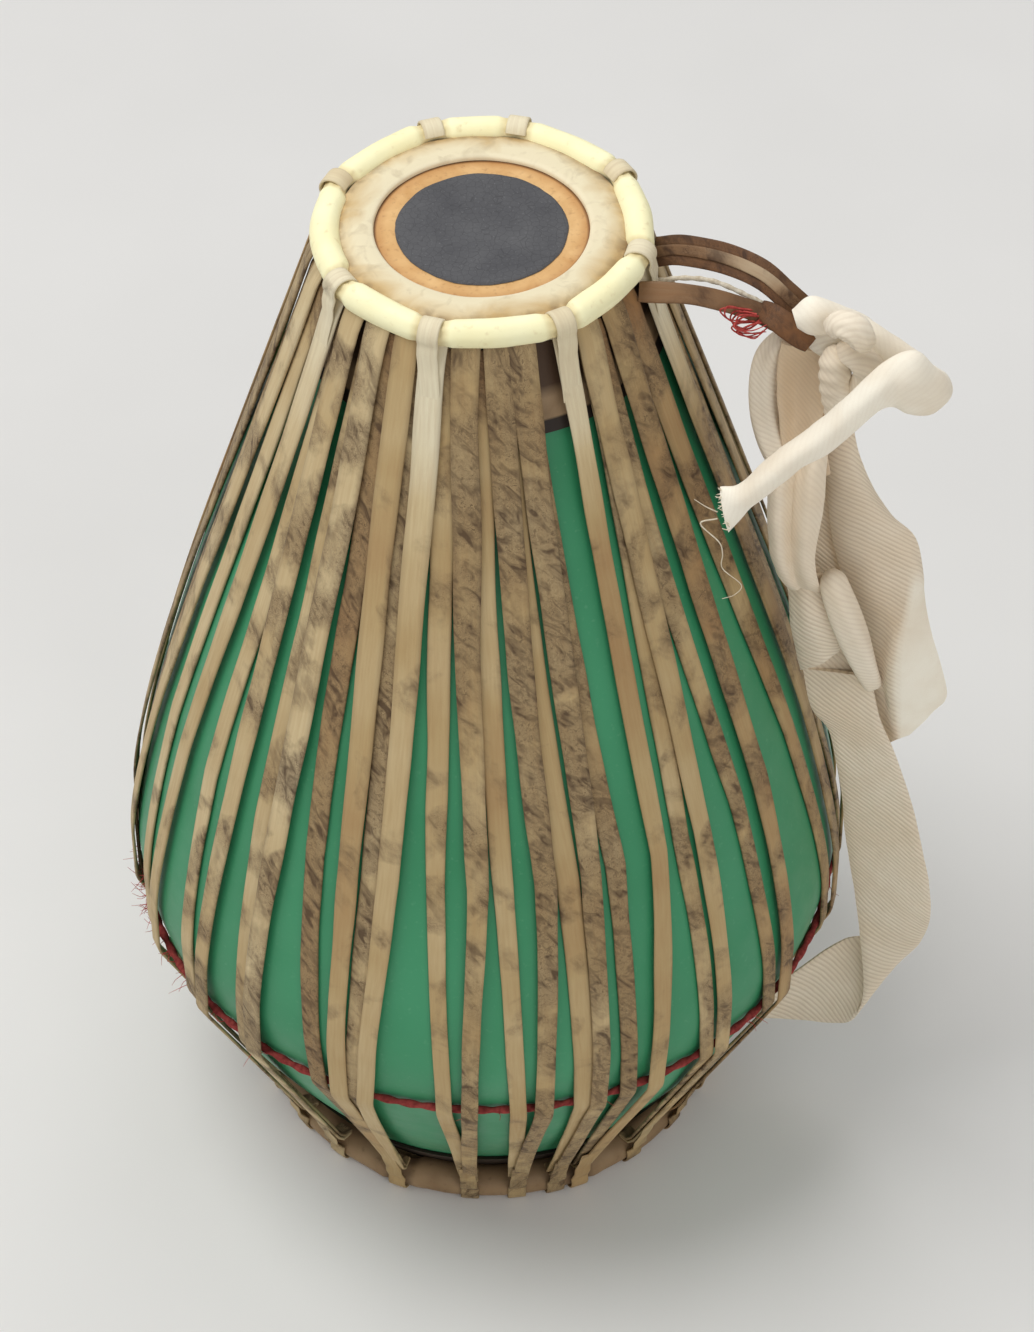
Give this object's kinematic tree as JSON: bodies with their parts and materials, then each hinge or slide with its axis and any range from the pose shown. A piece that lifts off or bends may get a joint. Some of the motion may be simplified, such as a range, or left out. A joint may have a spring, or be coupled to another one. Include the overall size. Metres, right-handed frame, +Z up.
{
  "type": "laced barrel drum",
  "caption": "Upright two-headed barrel drum with a green shell, hide laces from head to head, a red belly cord and a knotted cotton carrying strap.",
  "frame": {"origin": "on the drum's axis, at the surface that its large head's edge ring stands on", "axes": "+Z up the drum's axis to the small head, +X to the side that the strap hangs on, -Y to the front"},
  "size_m": [0.3888, 0.3469, 0.5328],
  "materials": {
    "shell": "green moulded fibre shell, semi-gloss",
    "red_cord": "twisted red cord",
    "ring_cloth": "cream bound roll",
    "foot_ring": "tan bound roll",
    "head_skin": "bare hide",
    "collar_skin": "pale hide",
    "black_patch": "matt black paste",
    "lace_hide": "stained raw hide strip",
    "thong_leather": "brown leather strip",
    "white_string": "cotton string",
    "strap_cotton": "off-white cotton twill"
  },
  "bodies": {
    "drum": {"shell": "shell", "belly_cord": "red_cord", "small_edge_ring": "ring_cloth", "large_edge_ring": "foot_ring", "small_head_skin": "head_skin", "small_head_collar": "collar_skin", "small_head_patch": "black_patch", "large_head_skin": "head_skin", "large_head_collar": "collar_skin", "large_head_patch": "black_patch", "lace_1": "lace_hide", "lace_2": "lace_hide", "lace_3": "lace_hide", "lace_4": "lace_hide", "lace_5": "lace_hide", "lace_6": "lace_hide", "lace_7": "lace_hide", "small_ring_wrap_1": "lace_hide", "small_ring_wrap_2": "lace_hide", "small_ring_wrap_3": "lace_hide", "small_ring_wrap_4": "lace_hide", "small_ring_wrap_5": "lace_hide", "small_ring_wrap_6": "lace_hide", "small_ring_wrap_7": "lace_hide", "small_ring_wrap_8": "lace_hide", "large_ring_wrap_1": "lace_hide", "large_ring_wrap_2": "lace_hide", "large_ring_wrap_3": "lace_hide", "large_ring_wrap_4": "lace_hide", "large_ring_wrap_5": "lace_hide", "large_ring_wrap_6": "lace_hide", "large_ring_wrap_7": "lace_hide", "large_ring_wrap_8": "lace_hide", "thong_upper": "thong_leather", "thong_lower": "thong_leather", "thong_string": "white_string"},
    "strap": {"strap_knot": "strap_cotton", "strap_tail": "strap_cotton", "strap_loop": "strap_cotton", "strap_hitch": "strap_cotton", "strap_flap": "strap_cotton", "strap_band": "strap_cotton"}
  },
  "joints": [
    {"name": "strap_swing", "type": "hinge", "parent": "drum", "child": "strap", "pos_m": [0.13185, -0.03667, 0.51], "axis": [0.0094, -0.0054, 0.9999], "range_deg": [-12, 35]}
  ]
}
